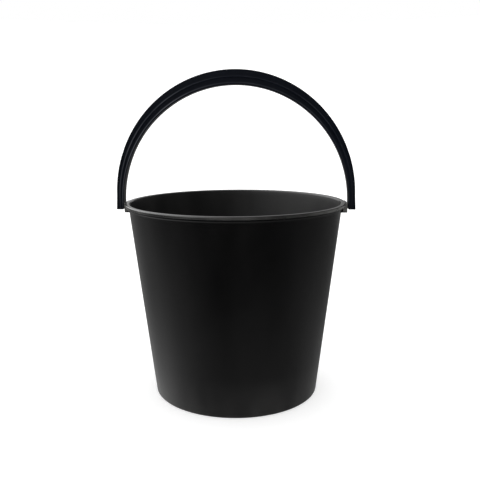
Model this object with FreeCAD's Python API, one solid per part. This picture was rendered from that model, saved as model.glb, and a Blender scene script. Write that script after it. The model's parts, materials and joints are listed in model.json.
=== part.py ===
import FreeCAD, Part
import math
import os

# Florist bucket: a tapered moulded bucket with two ears under its rim, and a moulded bail handle
# whose pegs turn in the ears. Millimetres, +Z up. The origin is the centre of the base, on the
# surface that the bucket stands on. The pegs lie along X, and the handle stands upright at rest.

# Wall and base of the bucket.
HEIGHT = 250.0
BASE_RADIUS = 107.3
TOP_RADIUS = 137.1          # outside of the tapered wall, carried up to the full height
WALL = 2.2
BASE_RAISED = 4.0           # the base sits this far up, inside its standing ring
BASE_THICK = 2.4
RING_WIDTH = 2.6
BASE_EDGE_ROUND = 1.2
INSIDE_CORNER_ROUND = 4.0
GATE_RADIUS = 9.0           # round boss in the middle of the underside
GATE_HEIGHT = 1.2
UNDER_RIB_RADIUS = 62.0
UNDER_RIB_WIDTH = 1.8
UNDER_RIB_HEIGHT = 2.0

# Rim: a flat lip turned down at its outer edge, over a thicker root ring.
RIM_RADIUS = 141.5
LIP_THICK = 2.0
LIP_DEPTH = 3.8
SKIRT_THICK = 1.9
LIP_OUTER_ROUND = 1.8
LIP_INNER_ROUND = 2.4
ROOT_RADIUS = 138.2
ROOT_DEPTH = 6.8
ROOT_ROUND = 0.9

# Ears: small boxes under the lip, open downwards, with a bore in the outer plate.
EAR_FACE = 143.2            # distance of the outer face from the axis
EAR_HALF_WIDTH = 11.0
EAR_BOTTOM = 236.3
EAR_TOP = 249.4
EAR_PLATE = 3.0
EAR_CHEEK = 2.0
EAR_ROOF = 248.1            # underside of the lip inside the ear
EAR_CORNER_ROUND = 1.2

# Pegs of the handle, in the bores of the ears.
PEG_HEIGHT = 243.8
PEG_RADIUS = 3.0
BORE_CLEARANCE = 0.05
HEAD_RADIUS = 4.0
SHOULDER_RADIUS = 3.6
HEAD_LENGTH = 2.3
HEAD_CHAMFER = 1.2
SIDE_GAP = 0.3              # play along the peg, at each side of the ear's plate

# Bow of the handle, between half ellipses, on arms that spread a little towards their ends.
ARM_END = 239.8
ARM_SPREAD = 0.9
ARM_INSIDE = 144.3          # inner face where the arms begin to spread
ARM_OUTSIDE = 152.9
BOW_TOP = 415.0
BOW_UNDERSIDE = 396.3
OUTER_CENTRE = 258.0
INNER_CENTRE = 249.5
LEDGE_SHARE = 0.45          # the ledge lies this far in from the outer edge
ARM_HALF_WIDTH = 8.0
GRIP_HALF_WIDTH = 11.0
ARM_TAPER_START = 262.0
GRIP_TAPER_END = 392.0
LEDGE_STEP = 1.8            # the inner band of the bow is narrower by this at each side
LEDGE_START = 292.0
LEDGE_FULL = 330.0
SPARE = 20.0                # how far a cutting solid runs past what it cuts

X_AXIS = FreeCAD.Vector(1, 0, 0)
Z_AXIS = FreeCAD.Vector(0, 0, 1)
ORIGIN = FreeCAD.Vector(0, 0, 0)


def wall_radius(height):
    """Outside radius of the tapered wall at a height."""
    return BASE_RADIUS + (TOP_RADIUS - BASE_RADIUS) * height / HEIGHT


def point_xz(x, z):
    return FreeCAD.Vector(x, 0, z)


def revolved(outline):
    """Solid of revolution about Z from (radius, height) corners."""
    corners = [point_xz(radius, height) for radius, height in outline]
    face = Part.Face(Part.makePolygon(corners + corners[:1]))
    return face.revolve(ORIGIN, Z_AXIS, 360)


def block(low, high):
    """Box between two corners."""
    size = [high[i] - low[i] for i in range(3)]
    return Part.makeBox(size[0], size[1], size[2], FreeCAD.Vector(*low))


def rod(start_x, end_x, radius):
    """Cylinder along X at the height of the pegs."""
    foot = FreeCAD.Vector(start_x, 0, PEG_HEIGHT)
    return Part.makeCylinder(radius, end_x - start_x, foot, X_AXIS)


def rounded_rings(shape, rings):
    """Rounds the full circles about Z listed as (radius of the circle, height, size of the round)."""
    for ring_radius, height, size in rings:
        edges = []
        for edge in shape.Edges:
            if not isinstance(edge.Curve, Part.Circle):
                continue
            same_height = abs(edge.Curve.Center.z - height) < 0.01
            same_radius = abs(edge.Curve.Radius - ring_radius) < 0.01
            if same_height and same_radius:
                edges.append(edge)
        shape = shape.makeFillet(size, edges)
    return shape


def both_sides(shape):
    """The shape and its mirror image across the YZ plane, as one solid or two."""
    return shape.fuse(shape.mirror(ORIGIN, X_AXIS))


def bucket_shell():
    """Wall, base, standing ring and rim, all turned about Z."""
    floor_top = BASE_RAISED + BASE_THICK
    inside_top = TOP_RADIUS - WALL
    inside_bottom = wall_radius(floor_top) - WALL
    lip_bottom = HEIGHT - LIP_DEPTH
    root_bottom = HEIGHT - ROOT_DEPTH
    channel_roof = HEIGHT - LIP_THICK
    outline = [
        (0, BASE_RAISED),
        (BASE_RADIUS - RING_WIDTH, BASE_RAISED),
        (BASE_RADIUS - RING_WIDTH, 0),
        (BASE_RADIUS, 0),
        (wall_radius(root_bottom), root_bottom),
        (ROOT_RADIUS, root_bottom),
        (ROOT_RADIUS, channel_roof),
        (RIM_RADIUS - SKIRT_THICK, channel_roof),
        (RIM_RADIUS - SKIRT_THICK, lip_bottom),
        (RIM_RADIUS, lip_bottom),
        (RIM_RADIUS, HEIGHT),
        (inside_top, HEIGHT),
        (inside_bottom, floor_top),
        (0, floor_top),
    ]
    rings = [
        (BASE_RADIUS, 0, BASE_EDGE_ROUND),
        (inside_bottom, floor_top, INSIDE_CORNER_ROUND),
        (RIM_RADIUS, HEIGHT, LIP_OUTER_ROUND),
        (inside_top, HEIGHT, LIP_INNER_ROUND),
        (ROOT_RADIUS, root_bottom, ROOT_ROUND),
    ]
    return rounded_rings(revolved(outline), rings)


def underside_details():
    """A boss in the middle of the base and one stiffening ring, both above the standing surface."""
    boss = Part.makeCylinder(GATE_RADIUS, GATE_HEIGHT + BASE_THICK / 2)
    boss.translate(FreeCAD.Vector(0, 0, BASE_RAISED - GATE_HEIGHT))
    rib_bottom = BASE_RAISED - UNDER_RIB_HEIGHT
    rib_top = BASE_RAISED + BASE_THICK / 2
    rib = revolved([
        (UNDER_RIB_RADIUS - UNDER_RIB_WIDTH / 2, rib_bottom),
        (UNDER_RIB_RADIUS + UNDER_RIB_WIDTH / 2, rib_bottom),
        (UNDER_RIB_RADIUS + UNDER_RIB_WIDTH / 2, rib_top),
        (UNDER_RIB_RADIUS - UNDER_RIB_WIDTH / 2, rib_top),
    ])
    return boss.fuse(rib)


def wall_core():
    """Everything within the outside of the tapered wall, carried above the rim."""
    top = HEIGHT + SPARE
    return revolved([(0, 0), (BASE_RADIUS, 0), (wall_radius(top), top), (0, top)])


def ear():
    """The ear on the +X side, without its pocket and bore."""
    wall_inside_ear = wall_radius(EAR_BOTTOM) - WALL
    outside = block((wall_inside_ear, -EAR_HALF_WIDTH, EAR_BOTTOM), (EAR_FACE, EAR_HALF_WIDTH, EAR_TOP))
    outer_edges = []
    for edge in outside.Edges:
        box = edge.BoundBox
        if box.XMin > EAR_FACE - 0.01 and box.XMax < EAR_FACE + 0.01:
            outer_edges.append(edge)
    return outside.makeFillet(EAR_CORNER_ROUND, outer_edges)


def ear_pocket():
    """The hollow of the ear on the +X side, open downwards, and the bore in its outer plate."""
    half_width = EAR_HALF_WIDTH - EAR_CHEEK
    plate_inside = EAR_FACE - EAR_PLATE
    low = (wall_radius(EAR_BOTTOM) - WALL, -half_width, EAR_BOTTOM - SPARE)
    high = (plate_inside, half_width, EAR_ROOF)
    bore = rod(plate_inside - 1, EAR_FACE + 1, PEG_RADIUS + BORE_CLEARANCE)
    return block(low, high).cut(wall_core()).fuse(bore)


def inside_space():
    """The hollow inside of the wall, which the ears do not enter."""
    floor_top = BASE_RAISED + BASE_THICK
    top = HEIGHT + SPARE
    return revolved([
        (0, floor_top),
        (wall_radius(floor_top) - WALL, floor_top),
        (wall_radius(top) - WALL, top),
        (0, top),
    ])


def bucket_body():
    ears = both_sides(ear().cut(inside_space()))
    body = bucket_shell().fuse(underside_details()).fuse(ears)
    return body.cut(both_sides(ear_pocket())).removeSplitter()


def half_ellipse(half_span, centre_height, top_height):
    """Upper half of an ellipse in the XZ plane, from -X over the top to +X."""
    centre = point_xz(0, centre_height)
    ellipse = Part.Ellipse(point_xz(0, top_height), point_xz(half_span, centre_height), centre)
    return Part.ArcOfEllipse(ellipse, -math.pi / 2, math.pi / 2).toShape()


def bow_band(outside, inside, half_width):
    """Plate of the bow between two arches, each given as (half span, centre height, top height)."""
    edges = []
    for span, centre, top in (outside, inside):
        edges.append(half_ellipse(span, centre, top))
        for side in (-1, 1):
            foot = point_xz(side * (span + ARM_SPREAD), ARM_END)
            edges.append(Part.LineSegment(foot, point_xz(side * span, centre)).toShape())
    for side in (-1, 1):
        outer_foot = point_xz(side * (outside[0] + ARM_SPREAD), ARM_END)
        inner_foot = point_xz(side * (inside[0] + ARM_SPREAD), ARM_END)
        edges.append(Part.LineSegment(outer_foot, inner_foot).toShape())
    face = Part.Face(Part.Wire(Part.__sortEdges__(edges)))
    face.translate(FreeCAD.Vector(0, -half_width, 0))
    return face.extrude(FreeCAD.Vector(0, 2 * half_width, 0))


def side_limits(half_widths):
    """Solid with flat and sloping sides, from (height, half width) pairs going upwards."""
    right = [FreeCAD.Vector(-ARM_OUTSIDE - SPARE, half, height) for height, half in half_widths]
    left = [FreeCAD.Vector(-ARM_OUTSIDE - SPARE, -half, height) for height, half in half_widths[::-1]]
    corners = right + left
    face = Part.Face(Part.makePolygon(corners + corners[:1]))
    return face.extrude(FreeCAD.Vector(2 * (ARM_OUTSIDE + SPARE), 0, 0))


def bow():
    """The arch with its arms: a wide outer band, and an inner band set back by a small ledge."""
    ledge_span = ARM_OUTSIDE + LEDGE_SHARE * (ARM_INSIDE - ARM_OUTSIDE)
    ledge_centre = OUTER_CENTRE + LEDGE_SHARE * (INNER_CENTRE - OUTER_CENTRE)
    ledge_top = BOW_TOP + LEDGE_SHARE * (BOW_UNDERSIDE - BOW_TOP)
    outside = (ARM_OUTSIDE, OUTER_CENTRE, BOW_TOP)
    ledge = (ledge_span, ledge_centre, ledge_top)
    inside = (ARM_INSIDE, INNER_CENTRE, BOW_UNDERSIDE)

    def wide(height):
        share = (height - ARM_TAPER_START) / (GRIP_TAPER_END - ARM_TAPER_START)
        share = min(max(share, 0), 1)
        return ARM_HALF_WIDTH + share * (GRIP_HALF_WIDTH - ARM_HALF_WIDTH)

    def narrow(height):
        share = (height - LEDGE_START) / (LEDGE_FULL - LEDGE_START)
        share = min(max(share, 0), 1)
        return wide(height) - share * LEDGE_STEP

    bottom, top = ARM_END - SPARE, BOW_TOP + SPARE
    wide_heights = (bottom, ARM_TAPER_START, GRIP_TAPER_END, top)
    narrow_heights = (bottom, ARM_TAPER_START, LEDGE_START, LEDGE_FULL, GRIP_TAPER_END, top)
    wide_sides = side_limits([(height, wide(height)) for height in wide_heights])
    narrow_sides = side_limits([(height, narrow(height)) for height in narrow_heights])
    outer_band = bow_band(outside, ledge, GRIP_HALF_WIDTH + 1).common(wide_sides)
    inner_band = bow_band(ledge, inside, GRIP_HALF_WIDTH + 1).common(narrow_sides)
    return outer_band.fuse(inner_band).removeSplitter()


def peg():
    """Peg on the +X side: shoulder against the arm, shaft in the bore, head behind the plate."""
    head_outside = EAR_FACE - EAR_PLATE - SIDE_GAP
    head_inside = head_outside - HEAD_LENGTH
    shoulder_inside = EAR_FACE + SIDE_GAP
    into_arm = ARM_INSIDE + ARM_SPREAD + 1
    head = rod(head_inside, head_outside, HEAD_RADIUS)
    nose_edges = [edge for edge in head.Edges if edge.BoundBox.XMax < head_inside + 0.01]
    head = head.makeChamfer(HEAD_CHAMFER, nose_edges)
    shaft = rod(head_outside - 0.5, into_arm, PEG_RADIUS)
    shoulder = rod(shoulder_inside, into_arm, SHOULDER_RADIUS)
    return head.fuse(shaft).fuse(shoulder)


def bail_handle():
    return bow().fuse(both_sides(peg())).removeSplitter()


NODES = {
    "bucket_body": bucket_body,
    "bail_handle": bail_handle,
}

os.makedirs("parts", exist_ok=True)
for name, make in NODES.items():
    shape = make()
    print(name, "solids", len(shape.Solids), "valid", shape.isValid(), "mm3", round(shape.Volume))
    shape.exportStep("parts/" + name + ".step")
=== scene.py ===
"""Florist bucket: a moulded black bucket with a swinging bail handle, on a pale studio floor."""
import json
import math

import bmesh
import bpy
from mathutils import Matrix, Vector


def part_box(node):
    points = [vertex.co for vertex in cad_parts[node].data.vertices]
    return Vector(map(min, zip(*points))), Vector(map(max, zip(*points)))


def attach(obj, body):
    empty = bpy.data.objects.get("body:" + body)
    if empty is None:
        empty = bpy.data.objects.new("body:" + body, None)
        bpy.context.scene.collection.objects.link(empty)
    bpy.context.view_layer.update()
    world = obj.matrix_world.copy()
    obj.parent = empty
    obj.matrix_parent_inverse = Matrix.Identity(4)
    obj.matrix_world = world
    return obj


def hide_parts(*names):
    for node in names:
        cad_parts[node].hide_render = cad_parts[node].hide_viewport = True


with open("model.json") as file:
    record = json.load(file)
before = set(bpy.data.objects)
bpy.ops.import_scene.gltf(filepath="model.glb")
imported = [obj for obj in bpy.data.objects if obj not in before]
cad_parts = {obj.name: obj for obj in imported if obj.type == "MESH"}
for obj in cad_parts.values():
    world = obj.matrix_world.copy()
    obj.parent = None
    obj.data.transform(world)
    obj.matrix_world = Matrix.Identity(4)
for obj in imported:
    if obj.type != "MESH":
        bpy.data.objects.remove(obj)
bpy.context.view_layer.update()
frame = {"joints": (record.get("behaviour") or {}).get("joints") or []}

bl_info = {
    "name": "Florist Bucket",
    "version": (1, 0, 0),
    "blender": (4, 5, 0),
    "location": "3D View > Sidebar > Bucket",
    "description": "Builds a moulded florist bucket with a bail handle, and a plain studio for it",
    "category": "Add Mesh",
}

BODY_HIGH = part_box("bucket_body")[1]
HANDLE_LOW, HANDLE_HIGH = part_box("bail_handle")
HINGE = Vector(frame["joints"][0]["pos_m"])
MM = 0.001
SMOOTH_ANGLE = math.radians(32)


# ---------------------------------------------------------------- settings

def length(name, description, default):
    return bpy.props.FloatProperty(
        name=name, description=description, default=default, unit="LENGTH", precision=5)


def share(name, description, default):
    return bpy.props.FloatProperty(name=name, description=description, default=default, min=0, max=1)


def colour(name, description, default):
    return bpy.props.FloatVectorProperty(
        name=name, description=description, default=default, subtype="COLOR", size=3, min=0, max=1)


class BucketSettings(bpy.types.PropertyGroup):
    """Sizes and colour of the bucket moulding."""
    height: length("Height", "From the standing surface to the top of the rim", BODY_HIGH.z)
    base_radius: length("Base radius", "Outside of the wall where it meets the ground", 107.3 * MM)
    top_radius: length("Top radius", "Outside of the wall, carried up to the full height", 137.1 * MM)
    rim_radius: length("Rim radius", "Outside of the turned-down rim", BODY_HIGH.y)
    wall: length("Wall", "Thickness of the wall", 2.2 * MM)
    base_raised: length("Base raised", "Underside of the base above the ground", 4.0 * MM)
    base_thick: length("Base thickness", "Thickness of the base", 2.4 * MM)
    ring_width: length("Ring width", "Width of the standing ring", 2.6 * MM)
    lip_thick: length("Lip thickness", "Thickness of the flat part of the rim", 2.0 * MM)
    lip_depth: length("Lip depth", "Height of the turned-down edge", 3.8 * MM)
    lip_outer_round: length("Lip outer rounding", "Rounding of the rim's outer edge", 1.8 * MM)
    lip_inner_round: length("Lip inner rounding", "Rounding of the rim towards the inside", 2.4 * MM)
    skirt_thick: length("Skirt thickness", "Thickness of the turned-down edge", 1.9 * MM)
    root_radius: length("Root radius", "Outside of the thick ring under the rim", 138.2 * MM)
    root_depth: length("Root depth", "Bottom of the thick ring below the top", 6.8 * MM)
    boss_radius: length("Boss radius", "Round boss in the middle of the underside", 9.0 * MM)
    boss_height: length("Boss height", "How far the boss stands down", 1.2 * MM)
    rib_radius: length("Rib radius", "Middle of the ring rib on the underside", 62.0 * MM)
    rib_width: length("Rib width", "Width of the ring rib", 1.8 * MM)
    rib_height: length("Rib height", "How far the ring rib stands down", 2.0 * MM)
    ear_face: length("Ear face", "Outer face of an ear, from the axis", BODY_HIGH.x)
    ear_half_width: length("Ear half width", "Half of an ear's width", 11.0 * MM)
    ear_bottom: length("Ear bottom", "Lower edge of an ear", 236.3 * MM)
    ear_plate: length("Ear plate", "Thickness of an ear's outer plate", 3.0 * MM)
    ear_cheek: length("Ear cheek", "Thickness of an ear's two cheeks", 2.0 * MM)
    ear_round: length("Ear rounding", "Rounding of an ear's outer edges", 1.2 * MM)
    segments: bpy.props.IntProperty(name="Segments", description="Facets round the bucket", default=224)
    plastic: colour("Plastic", "Colour of the bucket's plastic", (0.0009, 0.0009, 0.0010))
    # Pale colour of the dusty patches and scuffs, also used for the painted highlight on the rim's outer
    # edge and the ears.
    dust_and_highlight: colour("Dust", "Colour of the fine dust and scuffs on the bucket", (0.080, 0.079, 0.076))


class HandleSettings(bpy.types.PropertyGroup):
    """Sizes and colour of the bail handle."""
    arm_end: length("Arm end", "Lower end of the arms", HANDLE_LOW.z)
    arm_spread: length("Arm spread", "How far the arms lean outwards at their ends", 0.9 * MM)
    arm_inside: length("Arm inside", "Inner face of an arm where it begins to spread", 144.3 * MM)
    arm_outside: length("Arm outside", "Outer face of an arm where it begins to spread", 152.9 * MM)
    bow_top: length("Bow top", "Top of the bow", HANDLE_HIGH.z)
    bow_underside: length("Bow underside", "Underside of the bow at its middle", 396.3 * MM)
    outer_centre: length("Outer centre", "Centre height of the outer half ellipse", 258.0 * MM)
    inner_centre: length("Inner centre", "Centre height of the inner half ellipse", 249.5 * MM)
    ledge_share: share("Ledge", "How far in from the outer edge the ledge lies", 0.45)
    ledge_run: length("Ledge run", "How far the ledge slopes along the face", 0.7 * MM)
    ledge_step: length("Ledge step", "How far the inner band is set back", 1.8 * MM)
    ledge_start: length("Ledge start", "Height where the ledge begins on the arms", 292.0 * MM)
    ledge_full: length("Ledge full", "Height where the ledge has its full step", 330.0 * MM)
    arm_half_width: length("Arm half width", "Half of an arm's width", 8.0 * MM)
    grip_half_width: length("Grip half width", "Half of the bow's width at the top", HANDLE_HIGH.y)
    taper_start: length("Taper start", "Height where the arms begin to widen", 262.0 * MM)
    taper_end: length("Taper end", "Height where the bow has its full width", 392.0 * MM)
    edge_round: length("Edge round", "Rounding of the bow's edges", 0.7 * MM)
    inner_round: length("Inner round", "Rounding of the edges of the bow's inner face", 0.9 * MM)
    peg_radius: length("Peg radius", "Radius of the pegs", 3.0 * MM)
    peg_head_radius: length("Peg head radius", "Radius of the pegs' heads", 4.0 * MM)
    peg_head: length("Peg head", "Length of the pegs' heads", 2.3 * MM)
    shoulder_radius: length("Shoulder radius", "Radius of the pegs beside the arms", 3.6 * MM)
    peg_gap: length("Peg gap", "Play at each side of the ear's plate", 0.3 * MM)
    bore_clearance: length("Bore clearance", "Radius of the ears' bores beyond the pegs", 0.05 * MM)
    stations: bpy.props.IntProperty(name="Stations", description="Divisions along the bow", default=112)
    plastic: colour("Plastic", "Colour of the handle's plastic", (0.0014, 0.0025, 0.0056))
    # Pale colour of the worn spots, also used for the painted highlight lines along the ledge and the
    # bow's inner edge.
    dust_and_highlight: colour("Dust", "Colour of the fine wear on the handle", (0.055, 0.058, 0.068))


class StudioSettings(bpy.types.PropertyGroup):
    """Camera, floor and light."""
    camera_distance: length("Camera distance", "From the bucket's axis, along the ground", 827.4 * MM)
    camera_height: length("Camera height", "Above the floor", 352.4 * MM)
    camera_tilt: bpy.props.FloatProperty(
        name="Camera tilt", description="How far the camera looks down", default=math.radians(10.54),
        subtype="ANGLE")
    camera_turn: bpy.props.FloatProperty(
        name="Camera turn", description="How far the camera stands to the right of the front",
        default=math.radians(3.0), subtype="ANGLE")
    camera_roll: bpy.props.FloatProperty(
        name="Camera roll", description="How far the camera leans", default=math.radians(-0.355),
        subtype="ANGLE")
    camera_shift: bpy.props.FloatProperty(
        name="Camera shift", description="Sideways shift of the view", default=0.0092)
    camera_lens: bpy.props.FloatProperty(
        name="Lens", description="Focal length in millimetres on a 36 mm sensor", default=48.16)
    floor_radius: length("Floor radius", "Radius of the flat floor", 2.6)
    floor_sweep: length("Floor sweep", "Radius of the sweep from the floor up into the wall", 1.2)
    floor_colour: colour("Floor", "Colour of the floor and of the wall round it", (0.93, 0.93, 0.93))
    floor_glow: bpy.props.FloatProperty(
        name="Floor glow", description="Light that comes through the floor", default=0.4)


# ---------------------------------------------------------------- modelling helpers

def deselect_all():
    if bpy.context.mode != "OBJECT":
        bpy.ops.object.mode_set(mode="OBJECT")
    bpy.ops.object.select_all(action="DESELECT")


def name_new(name):
    piece = bpy.context.view_layer.objects.active
    piece.name = name
    piece.data.name = name
    return piece


def pick(piece, test, kind="VERT"):
    """In edit mode, selects only the vertices, edges or faces that pass the test."""
    bpy.ops.mesh.select_mode(type=kind)
    bpy.ops.mesh.select_all(action="DESELECT")
    mesh = bmesh.from_edit_mesh(piece.data)
    for item in {"VERT": mesh.verts, "EDGE": mesh.edges, "FACE": mesh.faces}[kind]:
        if test(item):
            item.select_set(True)
    mesh.select_flush_mode()
    bmesh.update_edit_mesh(piece.data)


def apply_modifier(piece, kind, **options):
    bpy.context.view_layer.objects.active = piece
    bpy.ops.object.modifier_add(type=kind)
    modifier = piece.modifiers[-1]
    for option, value in options.items():
        setattr(modifier, option, value)
    bpy.ops.object.modifier_apply(modifier=modifier.name)


def combine(piece, tool, operation):
    """Joins a closed tool to a closed piece, or cuts it out, and removes the tool."""
    deselect_all()
    piece.select_set(True)
    apply_modifier(piece, "BOOLEAN", operation=operation, object=tool, solver="EXACT")
    bpy.data.objects.remove(tool)


def bake_place(piece):
    """Puts a piece's place, turn and scale into its mesh."""
    deselect_all()
    piece.select_set(True)
    bpy.context.view_layer.objects.active = piece
    bpy.ops.object.transform_apply(location=True, rotation=True, scale=True)


def block(name, low, high):
    """Closed box between two corners."""
    deselect_all()
    centre = (Vector(low) + Vector(high)) / 2
    bpy.ops.mesh.primitive_cube_add(size=1, location=centre, scale=Vector(high) - Vector(low))
    piece = name_new(name)
    bake_place(piece)
    return piece


def rod(name, start_x, end_x, radius, sides=48):
    """Closed cylinder along X at the height of the pegs."""
    deselect_all()
    centre = ((start_x + end_x) / 2, 0, HINGE.z)
    bpy.ops.mesh.primitive_cylinder_add(
        vertices=sides, radius=radius, depth=abs(end_x - start_x), location=centre,
        rotation=(0, math.pi / 2, 0))
    piece = name_new(name)
    bake_place(piece)
    return piece


def round_edges(piece, test, size, steps):
    """Bevels the edges that pass the test."""
    bpy.context.view_layer.objects.active = piece
    bpy.ops.object.mode_set(mode="EDIT")
    pick(piece, test, "EDGE")
    bpy.ops.mesh.bevel(offset=size, segments=steps, profile=0.5, affect="EDGES")
    bpy.ops.object.mode_set(mode="OBJECT")


def close_and_smooth(piece, angle):
    """Merges doubles, points the faces outwards and smooths all but the sharp edges."""
    deselect_all()
    piece.select_set(True)
    bpy.context.view_layer.objects.active = piece
    bpy.ops.object.mode_set(mode="EDIT")
    bpy.ops.mesh.select_all(action="SELECT")
    bpy.ops.mesh.remove_doubles(threshold=0.002 * MM)
    bpy.ops.mesh.normals_make_consistent(inside=False)
    bpy.ops.object.mode_set(mode="OBJECT")
    bpy.ops.object.shade_smooth_by_angle(angle=angle)


# ---------------------------------------------------------------- materials

def new_material(name):
    material = bpy.data.materials.new(name)
    material.use_nodes = True
    tree = material.node_tree
    return material, tree, tree.nodes["Principled BSDF"]


def add_node(tree, kind, **values):
    """Adds a node, and sets its properties and unlinked inputs by name."""
    node = tree.nodes.new(kind)
    for key, value in values.items():
        if hasattr(node, key):
            setattr(node, key, value)
        else:
            node.inputs[key.replace("_", " ")].default_value = value
    return node


def noise(tree, coords, scale, detail, roughness=0.5, stretch=(1, 1, 1)):
    mapping = add_node(tree, "ShaderNodeMapping")
    mapping.inputs["Scale"].default_value = stretch
    tree.links.new(coords, mapping.inputs["Vector"])
    texture = add_node(tree, "ShaderNodeTexNoise", Scale=scale, Detail=detail, Roughness=roughness)
    tree.links.new(mapping.outputs["Vector"], texture.inputs["Vector"])
    return texture.outputs["Fac"]


def remap(tree, value, low, high, to_low, to_high):
    node = add_node(tree, "ShaderNodeMapRange", clamp=True)
    tree.links.new(value, node.inputs["Value"])
    node.inputs["From Min"].default_value = low
    node.inputs["From Max"].default_value = high
    node.inputs["To Min"].default_value = to_low
    node.inputs["To Max"].default_value = to_high
    return node.outputs["Result"]


def maths(tree, operation, first, second):
    node = add_node(tree, "ShaderNodeMath", operation=operation)
    for socket, value in ((node.inputs[0], first), (node.inputs[1], second)):
        if isinstance(value, (int, float)):
            socket.default_value = value
        else:
            tree.links.new(value, socket)
    return node.outputs["Value"]


def blend_colours(tree, factor, first, second):
    node = add_node(tree, "ShaderNodeMix", data_type="RGBA")
    tree.links.new(factor, node.inputs["Factor"])
    for socket, value in ((node.inputs[6], first), (node.inputs[7], second)):
        if hasattr(value, "links"):
            tree.links.new(value, socket)
        else:
            socket.default_value = (*value, 1)
    return node.outputs[2]


def bump(tree, height, strength, distance, normal=None):
    node = add_node(tree, "ShaderNodeBump", Strength=strength, Distance=distance)
    tree.links.new(height, node.inputs["Height"])
    if normal is not None:
        tree.links.new(normal, node.inputs["Normal"])
    return node.outputs["Normal"]


def square_root_sum(tree, first, second):
    """Square root of the sum of two values' squares."""
    squares = [maths(tree, "MULTIPLY", value, value) for value in (first, second)]
    return maths(tree, "SQRT", maths(tree, "ADD", *squares), 0.0)


def moulded_plastic(name, base, dust_and_highlight, wear_and_highlight, roughness, specular):
    """Satin moulded plastic: fine grain, slow waves in the wall, smears, drip streaks, dusty patches,
    scuffs and painted highlights.

    wear_and_highlight is a function of the tree and the X, Y and Z coordinates. It gives how far the
    plastic turns towards its pale colour at a place, for dusty patches, worn spots and painted
    highlights alike, and how much rougher the plastic is there.
    """
    material, tree, shader = new_material(name)
    place = add_node(tree, "ShaderNodeTexCoord").outputs["Object"]
    split = add_node(tree, "ShaderNodeSeparateXYZ")
    tree.links.new(place, split.inputs["Vector"])

    cloud = noise(tree, place, scale=9, detail=4)
    smear = noise(tree, place, scale=60, detail=5, roughness=0.6, stretch=(1, 1, 0.6))
    drips = noise(tree, place, scale=24, detail=2, roughness=0.5, stretch=(1, 1, 0.3))
    grain = noise(tree, place, scale=900, detail=3)
    waves = noise(tree, place, scale=14, detail=1, roughness=0.4, stretch=(1, 1, 0.35))
    scratch = noise(tree, place, scale=420, detail=3, roughness=0.7, stretch=(1, 1, 0.045))
    cross_scratch = noise(tree, place, scale=380, detail=3, roughness=0.7, stretch=(0.05, 0.05, 1))

    pale_and_highlight_share, rougher = wear_and_highlight(tree, *split.outputs)
    lines = maths(tree, "MAXIMUM", remap(tree, scratch, 0.70, 0.82, 0, 0.5),
                  remap(tree, cross_scratch, 0.72, 0.84, 0, 0.5))
    patches = remap(tree, drips, 0.32, 0.68, 0.3, 1.7)
    # The painted highlights come in here, blended towards the pale colour together with the dusty
    # patches and scratches.
    pale_blend = maths(tree, "MULTIPLY", maths(tree, "ADD", patches, lines), pale_and_highlight_share)
    tone = blend_colours(tree, remap(tree, cloud, 0.35, 0.65, 0, 1), base, [1.35 * c for c in base])
    tree.links.new(blend_colours(tree, pale_blend, tone, dust_and_highlight), shader.inputs["Base Color"])

    slow = remap(tree, cloud, 0.3, 0.7, roughness - 0.015, roughness + 0.015)
    fine = remap(tree, smear, 0.3, 0.7, -0.015, 0.02)
    streaks = remap(tree, drips, 0.35, 0.65, -0.05, 0.0)
    rough = maths(tree, "ADD", maths(tree, "ADD", slow, fine), maths(tree, "ADD", streaks, rougher))
    tree.links.new(rough, shader.inputs["Roughness"])
    shader.inputs["Specular IOR Level"].default_value = specular

    wavy = bump(tree, waves, strength=1.0, distance=0.25 * MM)
    grainy = bump(tree, grain, strength=1.0, distance=0.02 * MM, normal=wavy)
    tree.links.new(grainy, shader.inputs["Normal"])
    return material


def bucket_pale_and_highlight(tree, x, y, z):
    """A faint pale tone everywhere, paler towards the ground and inside, and a painted highlight on the
    rim's outer edge and the ears' faces, strongest towards the ears.
    """
    s = bpy.context.scene.florist_bucket
    # Paler towards the ground, and paler and rougher inside.
    low = remap(tree, z, 0, 0.2 * s.height, 0.13, 0.017)
    taper = (s.top_radius - s.base_radius) / s.height
    middle = maths(tree, "ADD", maths(tree, "MULTIPLY", z, taper), s.base_radius - s.wall / 2)
    beyond = maths(tree, "SUBTRACT", square_root_sum(tree, x, y), middle)
    inside = remap(tree, beyond, -0.4 * MM, 0.4 * MM, 1, 0)
    # Painted highlight: the rim's outer edge and the ears' faces are painted paler, more towards the
    # ears, less on the top rounding, and not on the ears' lower edges, which stay dark.
    outermost = remap(tree, beyond, 3.2 * MM, 3.6 * MM, 0, 1)
    sideways = maths(tree, "ABSOLUTE", x, 0.0)
    beside_ears = remap(tree, sideways, 0.6 * s.rim_radius, s.rim_radius, 0.30, 0.85)
    above_ear_edge = remap(tree, z, s.ear_bottom + 0.9 * MM, s.ear_bottom + 1.5 * MM, 0, 1)
    below_top = remap(tree, z, s.height - 1.2 * MM, s.height - 0.2 * MM, 1.0, 0.2)
    painted_highlight = maths(tree, "MULTIPLY", maths(tree, "MULTIPLY", outermost, beside_ears),
                   maths(tree, "MULTIPLY", above_ear_edge, below_top))
    paler_low_and_inside = maths(tree, "ADD", low, maths(tree, "MULTIPLY", inside, 0.055))
    return maths(tree, "ADD", paler_low_and_inside, painted_highlight), maths(tree, "MULTIPLY", inside, 0.25)


def arch_line(tree, x, z, arch, reach):
    """1 along an arch and down its arms, falling to 0 within reach of it."""
    span, centre, top = arch
    across = maths(tree, "DIVIDE", x, span)
    above = maths(tree, "MAXIMUM", maths(tree, "SUBTRACT", z, centre), 0.0)
    round_arch = square_root_sum(tree, across, maths(tree, "DIVIDE", above, top - centre))
    outside = maths(tree, "MULTIPLY", maths(tree, "SUBTRACT", round_arch, 1.0), span)
    return remap(tree, maths(tree, "ABSOLUTE", outside, 0.0), 0.3 * reach, reach, 1, 0)


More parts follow.
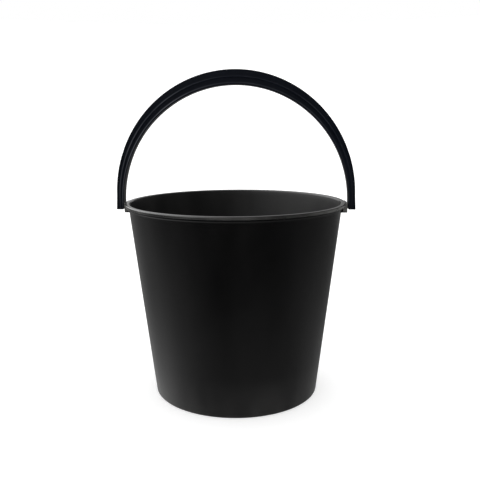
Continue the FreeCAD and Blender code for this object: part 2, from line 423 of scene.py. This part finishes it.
def handle_wear_and_highlight(tree, x, y, z):
    """A faint pale tone growing up the grip, and painted highlight lines along the ledge and beside the
    bow's inner edge, strongest on the left side of the grip.
    """
    s = bpy.context.scene.bail_handle
    outer, ledge, _, inner = arches(s)
    beside_inner = inner.lerp(outer, 0.14)
    grip = remap(tree, z, s.ledge_full, s.bow_top, 0.0, 0.01)
    # Painted highlight lines: strongest on the left side, weaker near the top of the bow and down the
    # arms.
    side = remap(tree, x, -0.6 * s.arm_inside, 0.6 * s.arm_inside, 1.0, 0.28)
    top = remap(tree, z, s.bow_top - 40 * MM, s.bow_top - 12 * MM, 1.0, 0.35)
    arms = remap(tree, z, s.arm_end, s.ledge_full, 0.35, 1.0)
    lines = maths(tree, "ADD",
                  maths(tree, "MULTIPLY", arch_line(tree, x, z, ledge, 0.8 * MM), 0.7),
                  maths(tree, "MULTIPLY", arch_line(tree, x, z, beside_inner, 0.9 * MM), 0.8))
    shares = maths(tree, "MULTIPLY", maths(tree, "MULTIPLY", side, top), arms)
    painted_highlight = maths(tree, "MULTIPLY", lines, shares)
    return maths(tree, "ADD", grip, painted_highlight), maths(tree, "MULTIPLY", painted_highlight, 0.1)


def dress(piece, material):
    """Gives a piece its one material."""
    piece.data.materials.clear()
    piece.data.materials.append(material)


# ---------------------------------------------------------------- the bucket

def wall_radius(settings, height):
    """Outside radius of the tapered wall at a height."""
    return settings.base_radius + (settings.top_radius - settings.base_radius) * height / settings.height


def bucket_outline(s):
    """Corners of the turned section as (radius, height, rounding), from underside to inner floor.

    The wall has rings with no rounding between its corners, and one close to each end keeps its
    smooth shading even.
    """
    middle = 3.0 * MM
    boss_bottom = s.base_raised - s.boss_height
    rib_bottom = s.base_raised - s.rib_height
    rib_inside = s.rib_radius - s.rib_width / 2
    rib_outside = s.rib_radius + s.rib_width / 2
    floor_top = s.base_raised + s.base_thick
    lip_bottom = s.height - s.lip_depth
    root_bottom = s.height - s.root_depth
    channel_roof = s.height - s.lip_thick
    ring_inside = s.base_radius - s.ring_width
    skirt_inside = s.rim_radius - s.skirt_thick
    floor_ring = 60.0 * MM
    near_base = 3.0 * MM
    near_root = root_bottom - 1.2 * MM
    wall_heights = [share_up * s.height for share_up in (0.12, 0.36, 0.66, 0.9)] + [near_root]
    wall_rings = [(wall_radius(s, z), z, 0) for z in [near_base] + wall_heights]
    inner_rings = [(radius - s.wall, z, 0) for radius, z, _ in reversed(wall_rings[1:])]
    return [
        (middle, boss_bottom, 0),
        (s.boss_radius, boss_bottom, 0.4 * MM),
        (s.boss_radius, s.base_raised, 0.4 * MM),
        (rib_inside, s.base_raised, 0.4 * MM),
        (rib_inside, rib_bottom, 0.5 * MM),
        (rib_outside, rib_bottom, 0.5 * MM),
        (rib_outside, s.base_raised, 0.4 * MM),
        (ring_inside, s.base_raised, 0.8 * MM),
        (ring_inside, 0, 0.6 * MM),
        (s.base_radius, 0, 1.2 * MM),
        *wall_rings,
        (wall_radius(s, root_bottom), root_bottom, 0.5 * MM),
        (s.root_radius, root_bottom, 0.9 * MM),
        (s.root_radius, channel_roof, 0.4 * MM),
        (skirt_inside, channel_roof, 0.4 * MM),
        (skirt_inside, lip_bottom, 0.5 * MM),
        (s.rim_radius, lip_bottom, 0.6 * MM),
        (s.rim_radius, s.height, s.lip_outer_round),
        (s.top_radius - s.wall, s.height, s.lip_inner_round),
        *inner_rings,
        (wall_radius(s, floor_top) - s.wall, floor_top, 4.0 * MM),
        (floor_ring, floor_top, 0),
        (middle, floor_top, 0),
    ]


def turn(name, outline, segments):
    """Turned solid: a ring is extruded from corner to corner of the outline, closed, and rounded."""
    deselect_all()
    radius, height, _ = outline[0]
    bpy.ops.mesh.primitive_circle_add(vertices=segments, radius=radius, location=(0, 0, height))
    piece = name_new(name)
    bake_place(piece)
    bpy.ops.object.mode_set(mode="EDIT")
    bpy.ops.mesh.select_all(action="SELECT")
    bpy.ops.mesh.edge_face_add()
    pick(piece, lambda edge: True, "EDGE")
    for next_radius, next_height, _ in outline[1:]:
        grow = next_radius / radius
        bpy.ops.mesh.extrude_edges_move(TRANSFORM_OT_translate={"value": (0, 0, next_height - height)})
        bpy.ops.transform.resize(value=(grow, grow, 1), center_override=(0, 0, next_height))
        radius, height = next_radius, next_height
    bpy.ops.mesh.edge_face_add()
    bpy.ops.mesh.select_all(action="SELECT")
    bpy.ops.mesh.normals_make_consistent(inside=False)
    bpy.ops.object.mode_set(mode="OBJECT")
    for corner_radius, corner_height, rounding in outline:
        if rounding:
            round_ring(piece, corner_radius, corner_height, rounding)
    return piece


def round_ring(piece, radius, height, rounding):
    """Bevels one full circle of the turned solid, more finely where the rounding is large."""
    near = 0.05 * MM
    small = 0.7 * MM

    def on_ring(edge):
        return all(
            abs(vert.co.z - height) < near and abs(math.hypot(vert.co.x, vert.co.y) - radius) < near
            for vert in edge.verts)

    round_edges(piece, on_ring, rounding, steps=2 if rounding < small else 6)


def ear(settings):
    """Closed block of the ear on the +X side, with its outer edges rounded."""
    into_wall = 1.2 * MM
    below_top = 0.6 * MM
    inside = wall_radius(settings, settings.ear_bottom) - into_wall
    piece = block(
        "ear", (inside, -settings.ear_half_width, settings.ear_bottom),
        (settings.ear_face, settings.ear_half_width, settings.height - below_top))
    face = settings.ear_face - 0.01 * MM
    round_edges(
        piece, lambda edge: all(vert.co.x > face for vert in edge.verts), settings.ear_round, steps=4)
    return piece


def ear_pocket(settings):
    """Closed block of the hollow in the ear on the +X side."""
    outside_wall = 0.2 * MM
    past_opening = 5 * MM
    roof_below_top = 1.9 * MM
    half_width = settings.ear_half_width - settings.ear_cheek
    plate_inside = settings.ear_face - settings.ear_plate
    return block(
        "pocket", (settings.top_radius + outside_wall, -half_width, settings.ear_bottom - past_opening),
        (plate_inside, half_width, settings.height - roof_below_top))


def turned_copy(piece):
    """The piece and a copy of it turned to the -X side, as two objects."""
    copy = piece.copy()
    copy.data = piece.data.copy()
    bpy.context.collection.objects.link(copy)
    copy.rotation_euler = (0, 0, math.pi)
    bake_place(copy)
    return [piece, copy]


class MESH_OT_bucket_moulding(bpy.types.Operator):
    """Turns the bucket, adds its ears, and hollows and bores them"""
    bl_idname = "mesh.bucket_moulding"
    bl_label = "Bucket moulding"

    def execute(self, context):
        settings = context.scene.florist_bucket
        piece = turn("bucket_moulding", bucket_outline(settings), settings.segments)
        for tool in turned_copy(ear(settings)):
            combine(piece, tool, "UNION")
        for tool in turned_copy(ear_pocket(settings)):
            combine(piece, tool, "DIFFERENCE")
        plate_inside = settings.ear_face - settings.ear_plate
        handle = context.scene.bail_handle
        past_plate = 1.0 * MM
        bore = rod(
            "bore", plate_inside - past_plate, settings.ear_face + past_plate,
            handle.peg_radius + handle.bore_clearance)
        for tool in turned_copy(bore):
            combine(piece, tool, "DIFFERENCE")
        close_and_smooth(piece, SMOOTH_ANGLE)
        material = moulded_plastic(
            "bucket_plastic", settings.plastic, settings.dust_and_highlight, bucket_pale_and_highlight,
            roughness=0.23, specular=0.44)
        dress(piece, material)
        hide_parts("bucket_body")
        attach(piece, "bucket")
        return {"FINISHED"}


# ---------------------------------------------------------------- the handle

def arches(s):
    """The bow's four edges from the front as (half span, centre height, top height), outside first."""
    outer = Vector((s.arm_outside, s.outer_centre, s.bow_top))
    inner = Vector((s.arm_inside, s.inner_centre, s.bow_underside))
    run = s.ledge_run / (s.arm_outside - s.arm_inside)
    return [outer, outer.lerp(inner, s.ledge_share), outer.lerp(inner, s.ledge_share + run), inner]


def ramp(value, low, high):
    """0 below the low value, 1 above the high one, and even between them."""
    return min(max((value - low) / (high - low), 0), 1)


def wide(s, height):
    """Half width of the outer band at a height."""
    widening = s.grip_half_width - s.arm_half_width
    return s.arm_half_width + ramp(height, s.taper_start, s.taper_end) * widening


def narrow(s, height):
    """Half width of the inner band at a height."""
    return wide(s, height) - ramp(height, s.ledge_start, s.ledge_full) * s.ledge_step


def next_arch(old, new, move_y):
    """Extrudes the selected arch and turns it into the next one."""
    bpy.ops.mesh.extrude_edges_move(TRANSFORM_OT_translate={"value": (0, move_y, new[1] - old[1])})
    stretch = (new[0] / old[0], 1, (new[2] - new[1]) / (old[2] - old[1]))
    bpy.ops.transform.resize(value=stretch, center_override=(0, 0, new[1]))


def half_bow(s):
    """Front half of the bow: a half ring extruded through the four arches, with straight arms."""
    deselect_all()
    outer, ledge_out, ledge_in, inner = arches(s)
    bpy.ops.mesh.primitive_circle_add(
        vertices=2 * s.stations, radius=outer[0], location=(0, 0, outer[1]),
        rotation=(math.pi / 2, 0, 0))
    piece = name_new("bail_moulding")
    bake_place(piece)
    bpy.ops.object.mode_set(mode="EDIT")
    bpy.ops.mesh.select_all(action="SELECT")
    rise = (outer[2] - outer[1]) / outer[0]
    bpy.ops.transform.resize(value=(1, 1, rise), center_override=(0, 0, outer[1]))
    pick(piece, lambda vert: vert.co.z < outer[1] - 0.01 * MM)
    bpy.ops.mesh.delete(type="VERT")
    pick(piece, lambda edge: True, "EDGE")
    full = s.grip_half_width
    set_back = full - s.ledge_step
    next_arch(outer, outer, -full)
    next_arch(outer, ledge_out, 0)
    next_arch(ledge_out, ledge_in, s.ledge_step)
    next_arch(ledge_in, inner, 0)
    next_arch(inner, inner, set_back)
    taper_bow(piece, s, full, set_back)
    pull_arms_down(piece, s)
    bpy.ops.object.mode_set(mode="OBJECT")
    return piece


def taper_bow(piece, s, full, set_back):
    """Narrows the bow towards its arms, a station at a time, and fades the ledge out."""
    same_height = 0.002 * MM
    same_depth = 0.01 * MM
    least_move = 0.0001 * MM
    heights = sorted({round(vert.co.z, 6) for vert in bmesh.from_edit_mesh(piece.data).verts})
    for height in heights:
        for depth, wanted in ((full, wide(s, height)), (set_back, narrow(s, height))):
            pick(piece, lambda vert: (
                abs(vert.co.z - height) < same_height and abs(vert.co.y + depth) < same_depth))
            if abs(wanted - depth) > least_move:
                bpy.ops.transform.resize(value=(1, wanted / depth, 1), center_override=(0, 0, height))


def pull_arms_down(piece, s):
    """Extrudes the two ends of the bow straight down to the ends of the arms."""
    near = 0.02 * MM
    centres = [(arch[0], arch[1]) for arch in arches(s)]

    def at_centre(place):
        return any(
            abs(abs(place.x) - span) < near and abs(place.z - centre) < near for span, centre in centres)

    def at_end(edge):
        return len(edge.link_faces) == 1 and all(at_centre(vert.co) for vert in edge.verts)

    pick(piece, at_end, "EDGE")
    bpy.ops.mesh.extrude_edges_move(TRANSFORM_OT_translate={"value": (0, 0, s.arm_end - s.outer_centre)})
    spread = 1 + s.arm_spread / s.arm_outside
    bpy.ops.transform.resize(value=(spread, 1, 0), center_override=(0, 0, s.arm_end))


def on_inner_face(s, place):
    """Whether a place lies on the inner half ellipse or on the inner face of an arm."""
    near = 0.05 * MM
    if place.z < s.inner_centre:
        return s.arm_inside - near < abs(place.x) < s.arm_inside + s.arm_spread + near
    across = place.x / s.arm_inside
    upwards = (place.z - s.inner_centre) / (s.bow_underside - s.inner_centre)
    return abs(math.hypot(across, upwards) - 1) < 1e-3


def is_long_inner_edge(s, edge):
    """Whether an edge runs along the inner face, at its front or its back."""
    square = len(edge.link_faces) == 2 and edge.calc_face_angle() > math.radians(60)
    above_end = any(vert.co.z > s.arm_end + 0.1 * MM for vert in edge.verts)
    return square and above_end and all(on_inner_face(s, vert.co) for vert in edge.verts)


def close_arms(piece, s):
    """Closes the open lower end of each arm."""
    bpy.ops.object.mode_set(mode="EDIT")
    for side in (-1, 1):
        pick(piece, lambda edge: len(edge.link_faces) == 1 and all(
            vert.co.x * side > 0 and vert.co.z < s.arm_end + 0.01 * MM for vert in edge.verts), "EDGE")
        bpy.ops.mesh.edge_face_add()
    bpy.ops.object.mode_set(mode="OBJECT")


def add_pegs(piece, s, ear_face, ear_plate):
    """Joins to each arm a shoulder, a shaft in the ear's bore and a head behind its plate."""
    overlap = 0.6 * MM
    chamfer = 1.2 * MM
    head_outside = ear_face - ear_plate - s.peg_gap
    head_inside = head_outside - s.peg_head
    into_arm = s.arm_inside + s.arm_spread + 1.5 * MM
    head = rod("head", head_inside, head_outside, s.peg_head_radius)
    nose = head_inside + 0.01 * MM
    round_edges(head, lambda edge: all(vert.co.x < nose for vert in edge.verts), chamfer, steps=1)
    shaft = rod("shaft", head_outside - overlap, into_arm, s.peg_radius)
    shoulder = rod("shoulder", ear_face + s.peg_gap, into_arm, s.shoulder_radius)
    combine(head, shaft, "UNION")
    combine(head, shoulder, "UNION")
    for tool in turned_copy(head):
        combine(piece, tool, "UNION")


class MESH_OT_bail_moulding(bpy.types.Operator):
    """Builds the bow with its ledge, its arms and its pegs"""
    bl_idname = "mesh.bail_moulding"
    bl_label = "Bail moulding"

    def execute(self, context):
        settings = context.scene.bail_handle
        piece = half_bow(settings)
        deselect_all()
        piece.select_set(True)
        apply_modifier(
            piece, "MIRROR", use_axis=(False, True, False), use_clip=True, merge_threshold=0.01 * MM)
        close_arms(piece, settings)
        close_and_smooth(piece, SMOOTH_ANGLE)
        round_edges(
            piece, lambda edge: is_long_inner_edge(settings, edge), settings.inner_round, steps=5)
        apply_modifier(
            piece, "BEVEL", width=settings.edge_round, segments=3, limit_method="ANGLE",
            angle_limit=SMOOTH_ANGLE, use_clamp_overlap=True)
        bucket = context.scene.florist_bucket
        add_pegs(piece, settings, bucket.ear_face, bucket.ear_plate)
        close_and_smooth(piece, SMOOTH_ANGLE)
        material = moulded_plastic(
            "handle_plastic", settings.plastic, settings.dust_and_highlight, handle_wear_and_highlight,
            roughness=0.36, specular=0.20)
        dress(piece, material)
        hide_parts("bail_handle")
        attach(piece, "handle")
        return {"FINISHED"}


# ---------------------------------------------------------------- the studio

def floor_material(settings):
    material, tree, shader = new_material("pale_floor")
    place = add_node(tree, "ShaderNodeTexCoord").outputs["Object"]
    darker = [0.985 * c for c in settings.floor_colour]
    mottle = noise(tree, place, scale=3, detail=3)
    tone = blend_colours(tree, mottle, settings.floor_colour, darker)
    tree.links.new(tone, shader.inputs["Base Color"])
    shader.inputs["Roughness"].default_value = 0.9
    shader.inputs["Specular IOR Level"].default_value = 0.1
    tree.links.new(tone, shader.inputs["Emission Color"])
    shader.inputs["Emission Strength"].default_value = settings.floor_glow
    return material


def add_floor(settings):
    """A round floor that sweeps up into a low wall all round."""
    steps = 10
    steepest = math.radians(80)
    deselect_all()
    bpy.ops.mesh.primitive_circle_add(vertices=128, radius=settings.floor_radius, fill_type="NGON")
    piece = name_new("studio_floor")
    bpy.ops.object.mode_set(mode="EDIT")
    pick(piece, lambda edge: True, "EDGE")
    radius, height = settings.floor_radius, 0
    for step in range(1, steps + 1):
        angle = step / steps * steepest
        next_height = settings.floor_sweep * (1 - math.cos(angle))
        next_radius = settings.floor_radius + settings.floor_sweep * math.sin(angle)
        grow = next_radius / radius
        bpy.ops.mesh.extrude_edges_move(TRANSFORM_OT_translate={"value": (0, 0, next_height - height)})
        bpy.ops.transform.resize(value=(grow, grow, 1), center_override=(0, 0, next_height))
        radius, height = next_radius, next_height
    bpy.ops.object.mode_set(mode="OBJECT")
    bpy.ops.object.shade_smooth_by_angle(angle=math.radians(40))
    piece.data.materials.append(floor_material(settings))
    piece.visible_glossy = False


def by_height(tree, up, levels):
    """Brightness by the height of the direction, from (height, brightness) pairs going upwards."""
    shifted = remap(tree, up, -1, 1, 0, 1)
    scale = add_node(tree, "ShaderNodeValToRGB")
    tree.links.new(shifted, scale.inputs["Fac"])
    stops = scale.color_ramp.elements
    while len(stops) < len(levels):
        stops.new(0.5)
    for stop, (height, level) in zip(stops, levels):
        stop.position = (height + 1) / 2
        stop.color = (level, level, level, 1)
    return scale.outputs["Color"]


def blend_values(tree, factor, first, second):
    node = add_node(tree, "ShaderNodeMix", data_type="FLOAT")
    for socket, value in ((node.inputs[0], factor), (node.inputs[2], first), (node.inputs[3], second)):
        tree.links.new(value, socket)
    return node.outputs[0]


def panels(tree, side, depth, up):
    """Brightness that reflections see: a panel at each side, a dim front and a high left window."""
    left = by_height(tree, up, (
        (-0.64, 0.85), (-0.54, 0.84), (-0.44, 0.45), (-0.36, 0.28),
        (-0.22, 0.21), (0.02, 0.20), (0.20, 0.90), (0.50, 1.50)))
    right = by_height(tree, up, (
        (-0.60, 0.23), (-0.50, 0.25), (-0.42, 0.21), (-0.33, 0.13),
        (-0.22, 0.10), (-0.12, 0.30), (0.0, 0.25), (0.08, 0.15)))
    front = by_height(tree, up, (
        (-0.66, 0.30), (-0.60, 0.14), (-0.54, 0.05), (-0.46, 0.01),
        (-0.38, 0.0), (-0.02, 0.0), (0.35, 0.15)))
    sides = blend_values(tree, remap(tree, side, -0.45, 0.45, 0, 1), left, right)
    all_round = blend_values(tree, remap(tree, depth, -0.84, 0.2, 0, 1), front, sides)
    from_left = remap(tree, side, -0.60, -0.10, 2.2, 0)
    from_above = remap(tree, up, 0.06, 0.35, 0, 1)
    return maths(tree, "ADD", all_round, maths(tree, "MULTIPLY", from_left, from_above))


def studio_light():
    """Even white light from all round. Only glossy reflections see the panels."""
    world = bpy.data.worlds.new("studio_light")
    bpy.context.scene.world = world
    world.use_nodes = True
    tree = world.node_tree
    background = tree.nodes["Background"]
    background.inputs["Color"].default_value = (1, 1, 1, 1)
    direction = add_node(tree, "ShaderNodeTexCoord").outputs["Generated"]
    split = add_node(tree, "ShaderNodeSeparateXYZ")
    tree.links.new(direction, split.inputs["Vector"])
    glossy = add_node(tree, "ShaderNodeLightPath").outputs["Is Glossy Ray"]
    seen = maths(tree, "MULTIPLY", glossy, panels(tree, *split.outputs))
    plain = maths(tree, "SUBTRACT", 1.0, glossy)
    tree.links.new(maths(tree, "ADD", seen, plain), background.inputs["Strength"])


def soft_lamp(name, place, size, power):
    """A square area lamp that shines down on the bucket."""
    deselect_all()
    bpy.ops.object.light_add(type="AREA", location=place)
    lamp = bpy.context.view_layer.objects.active
    lamp.name = name
    lamp.data.shape = "RECTANGLE"
    lamp.data.size = size
    lamp.data.size_y = size
    lamp.data.energy = power
    target = Vector((0, 0, 0.2))
    lamp.rotation_euler = (target - Vector(place)).to_track_quat("-Z", "Y").to_euler()


def add_camera(settings):
    deselect_all()
    turn = Matrix.Rotation(settings.camera_turn, 3, "Z")
    place = turn @ Vector((0, -settings.camera_distance, settings.camera_height))
    bpy.ops.object.camera_add(location=place)
    camera = bpy.context.view_layer.objects.active
    camera.name = "studio_camera"
    tilt = Matrix.Rotation(math.pi / 2 - settings.camera_tilt, 3, "X")
    roll = Matrix.Rotation(settings.camera_roll, 3, "Z")
    camera.rotation_euler = (turn @ tilt @ roll).to_euler()
    camera.data.sensor_width = 36
    camera.data.lens = settings.camera_lens
    camera.data.shift_x = settings.camera_shift
    bpy.context.scene.camera = camera


class SCENE_OT_bucket_studio(bpy.types.Operator):
    """Adds the pale floor, the soft light and the camera"""
    bl_idname = "scene.bucket_studio"
    bl_label = "Studio"

    def execute(self, context):
        settings = context.scene.bucket_studio
        add_floor(settings)
        studio_light()
        soft_lamp("top_lamp", place=(-0.5, 0.4, 2.2), size=1.6, power=3)
        add_camera(settings)
        context.scene.view_settings.view_transform = "Standard"
        return {"FINISHED"}


# ---------------------------------------------------------------- add-on

class VIEW3D_PT_florist_bucket(bpy.types.Panel):
    """Sidebar panel with the pieces, the studio and their settings."""
    bl_idname = "VIEW3D_PT_florist_bucket"
    bl_label = "Florist Bucket"
    bl_space_type = "VIEW_3D"
    bl_region_type = "UI"
    bl_category = "Bucket"

    def draw(self, context):
        layout = self.layout
        groups = (
            (MESH_OT_bucket_moulding, context.scene.florist_bucket),
            (MESH_OT_bail_moulding, context.scene.bail_handle),
            (SCENE_OT_bucket_studio, context.scene.bucket_studio),
        )
        for operator, settings in groups:
            box = layout.box()
            box.operator(operator.bl_idname)
            for name in settings.__annotations__:
                box.prop(settings, name)


CLASSES = (
    BucketSettings,
    HandleSettings,
    StudioSettings,
    MESH_OT_bucket_moulding,
    MESH_OT_bail_moulding,
    SCENE_OT_bucket_studio,
    VIEW3D_PT_florist_bucket,
)


def register():
    for item in CLASSES:
        bpy.utils.register_class(item)
    bpy.types.Scene.florist_bucket = bpy.props.PointerProperty(type=BucketSettings)
    bpy.types.Scene.bail_handle = bpy.props.PointerProperty(type=HandleSettings)
    bpy.types.Scene.bucket_studio = bpy.props.PointerProperty(type=StudioSettings)


def unregister():
    del bpy.types.Scene.bucket_studio
    del bpy.types.Scene.bail_handle
    del bpy.types.Scene.florist_bucket
    for item in reversed(CLASSES):
        bpy.utils.unregister_class(item)


def main():
    register()
    bpy.ops.mesh.bucket_moulding()
    bpy.ops.mesh.bail_moulding()
    bpy.ops.scene.bucket_studio()


if __name__ == "__main__":
    main()
